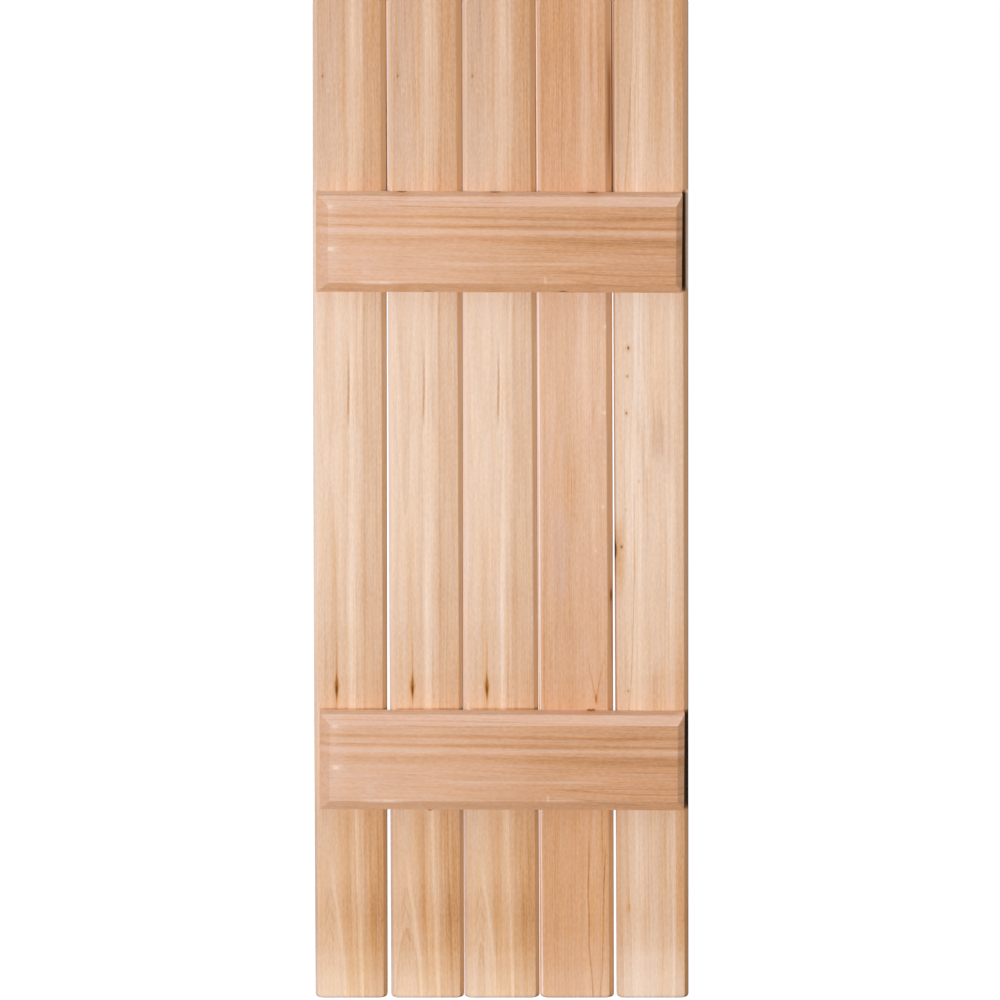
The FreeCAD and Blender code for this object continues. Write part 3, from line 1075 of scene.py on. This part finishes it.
def screw_head(mesh, place):
    """A cone under a flat head with a six-lobed recess pressed into it."""
    middle = place - Vector((0, HEAD_SUNK + HEAD_DEPTH / 2, 0))
    verts = bmesh.ops.create_cone(
        mesh, cap_ends=True, segments=HEAD_SIDES, depth=HEAD_DEPTH,
        radius1=SHANK_RADIUS, radius2=HEAD_RADIUS,
        matrix=Matrix.Translation(middle) @ OUTWARD,
    )["verts"]
    faces = {face for vertex in verts for face in vertex.link_faces}
    top = max(faces, key=lambda face: face.calc_center_median().y)
    bmesh.ops.inset_region(mesh, faces=[top], thickness=HEAD_RADIUS - DRIVE_RADIUS)
    for vertex in top.verts:
        spoke = vertex.co - place
        spoke.y = 0
        lobes = math.cos(DRIVE_LOBES * math.atan2(spoke.z, spoke.x))
        vertex.co += spoke * LOBE_SWELL * lobes
    bmesh.ops.inset_region(mesh, faces=[top], thickness=DRIVE_TAPER, depth=-DRIVE_DEPTH)


def zinc_plate(name):
    """Dull bright zinc with faint turning rings worn into it."""
    material, tree, shader = new_material(name, ZINC_SPECULAR)
    shader.inputs["Metallic"].default_value = 1.0
    coordinates = tree.nodes.new("ShaderNodeTexCoord")
    x, y, z = [part * MM_PER_METRE for part in axes(tree, coordinates.outputs["Object"])]
    dull = mottle(x / 1.3, y / 1.3, z / 1.3, 3.0)
    colour = dull.ramp([(0.3, linear(176, 176, 172)), (0.7, linear(212, 211, 205))], "LINEAR")
    tree.links.new(colour, shader.inputs["Base Color"])
    tree.links.new(dull.between(0.2, 0.8, 0.28, 0.5).socket, shader.inputs["Roughness"])
    relief(tree, shader, mottle(x * 4, y * 4, z * 0.6, 1.0), ZINC_RELIEF)
    return material


screw_mesh = bmesh.new()
for node, board in boards.items():
    places = screw_places(node)
    for place in places:
        screw_head(screw_mesh, place)
    carve(board, countersinks(places))
    soften_edges(board)
bmesh.ops.recalc_face_normals(screw_mesh, faces=screw_mesh.faces[:])
screws = new_piece("batten_screws", screw_mesh, zinc_plate("zinc_plated_steel"))
soften_edges(screws)
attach(screws, "root")


# Studio: the shutter stands on a plain white floor in soft light from the front left.
# The floor is white to the eye and keeps a faint shadow, and the same white shows through the gaps.
FLOOR_SIZE = 80.0
FLOOR_GREY = 0.35
FLOOR_GLOW_SHARE = 0.70
FLOOR_GLOW = 1.37
KEY_DISTANCE = 9.0
KEY_WIDTH = 3.6
KEY_HEIGHT = 1.0
KEY_AZIMUTH = math.radians(22)
KEY_ELEVATION = math.radians(6.5)
KEY_SHARE = 0.72
SKY_OVERHEAD = 0.62
SKY_LEVEL = 0.20
SKY_BELOW = 0.05
BACK_AZIMUTH = math.radians(200)
BACK_ELEVATION = math.radians(35)
BACK_DISTANCE = 6.0
BACK_SIZE = 3.6
BACK_SHARE = 0.85
CAMERA_ELEVATION = math.radians(11)
CAMERA_DISTANCE = 12.063
CAMERA_SIDE = -0.00255
CAMERA_AIM_HEIGHT = 0.0003
FRAME_PIXELS = 1000
FOCAL_PIXELS = 10051

floor_mesh = bmesh.new()
bmesh.ops.create_grid(floor_mesh, x_segments=1, y_segments=1, size=FLOOR_SIZE / 2)
bmesh.ops.translate(floor_mesh, verts=floor_mesh.verts[:], vec=(0, 0, cad_box[0].z))


def seen_directly(tree):
    """1 where the eye, or a mirror or glass, looks at a surface, and 0 where it only lights others."""
    path = tree.nodes.new("ShaderNodeLightPath")
    seen = Grain(path.outputs["Is Camera Ray"])
    seen = seen.math("MAXIMUM", Grain(path.outputs["Is Glossy Ray"]))
    return seen.math("MAXIMUM", Grain(path.outputs["Is Transmission Ray"]))


floor_paper, paper, paper_shader = new_material("white_paper", 0.0)
paper_shader.inputs["Base Color"].default_value = (FLOOR_GREY, FLOOR_GREY, FLOOR_GREY, 1)
paper_shader.inputs["Roughness"].default_value = 0.9
white_glow = paper.nodes.new("ShaderNodeEmission")
white_glow.inputs["Strength"].default_value = FLOOR_GLOW
blend = paper.nodes.new("ShaderNodeMixShader")
paper.links.new((seen_directly(paper) * FLOOR_GLOW_SHARE).socket, blend.inputs["Fac"])
paper.links.new(paper_shader.outputs["BSDF"], blend.inputs[1])
paper.links.new(white_glow.outputs["Emission"], blend.inputs[2])
paper.links.new(blend.outputs["Shader"], paper.nodes["Material Output"].inputs["Surface"])
floor = new_piece("studio_floor", floor_mesh, floor_paper)

world = bpy.data.worlds.new("white_studio")
bpy.context.scene.world = world
world.use_nodes = True
sky = world.node_tree
backdrop = sky.nodes["Background"]
backdrop.inputs["Color"].default_value = (1, 1, 1, 1)
sky_place = sky.nodes.new("ShaderNodeTexCoord")
height = axes(sky, sky_place.outputs["Generated"])[2]
soft_sky = height.curve([(-1, SKY_BELOW), (-0.1, SKY_BELOW), (0.1, SKY_LEVEL), (1, SKY_OVERHEAD)])
seen = seen_directly(sky)
sky.links.new(soft_sky.toward(1, seen).socket, backdrop.inputs["Strength"])


def softbox(name, azimuth, elevation, distance, width, height, share):
    """A wide soft lamp aimed at the shutter. Its share is how bright it makes a white face turned to it."""
    toward = Vector((
        -math.sin(azimuth) * math.cos(elevation),
        -math.cos(azimuth) * math.cos(elevation),
        math.sin(elevation),
    ))
    light = bpy.data.lights.new(name, "AREA")
    light.shape = "RECTANGLE"
    light.size = width
    light.size_y = height
    light.energy = share * math.pi ** 2 * distance ** 2
    lamp = new_object(name, light)
    lamp.location = toward * distance
    lamp.rotation_euler = toward.to_track_quat("Z", "Y").to_euler()
    lamp.visible_camera = False


key_on_front = KEY_SHARE / math.cos(KEY_AZIMUTH) / math.cos(KEY_ELEVATION)
softbox("key_light", KEY_AZIMUTH, KEY_ELEVATION, KEY_DISTANCE, KEY_WIDTH, KEY_HEIGHT, key_on_front)
softbox("back_light", BACK_AZIMUTH, BACK_ELEVATION, BACK_DISTANCE, BACK_SIZE, BACK_SIZE, BACK_SHARE)

camera_data = bpy.data.cameras.new("catalogue_camera")
camera_data.lens = camera_data.sensor_width * FOCAL_PIXELS / FRAME_PIXELS
camera_data.clip_end = 100
camera = new_object("catalogue_camera", camera_data)
camera.location = Vector((
    CAMERA_SIDE,
    -CAMERA_DISTANCE * math.cos(CAMERA_ELEVATION),
    CAMERA_AIM_HEIGHT + CAMERA_DISTANCE * math.sin(CAMERA_ELEVATION),
))
camera.rotation_euler = (math.pi / 2 - CAMERA_ELEVATION, 0, 0)
bpy.context.scene.camera = camera
bpy.context.scene.view_settings.view_transform = "Standard"
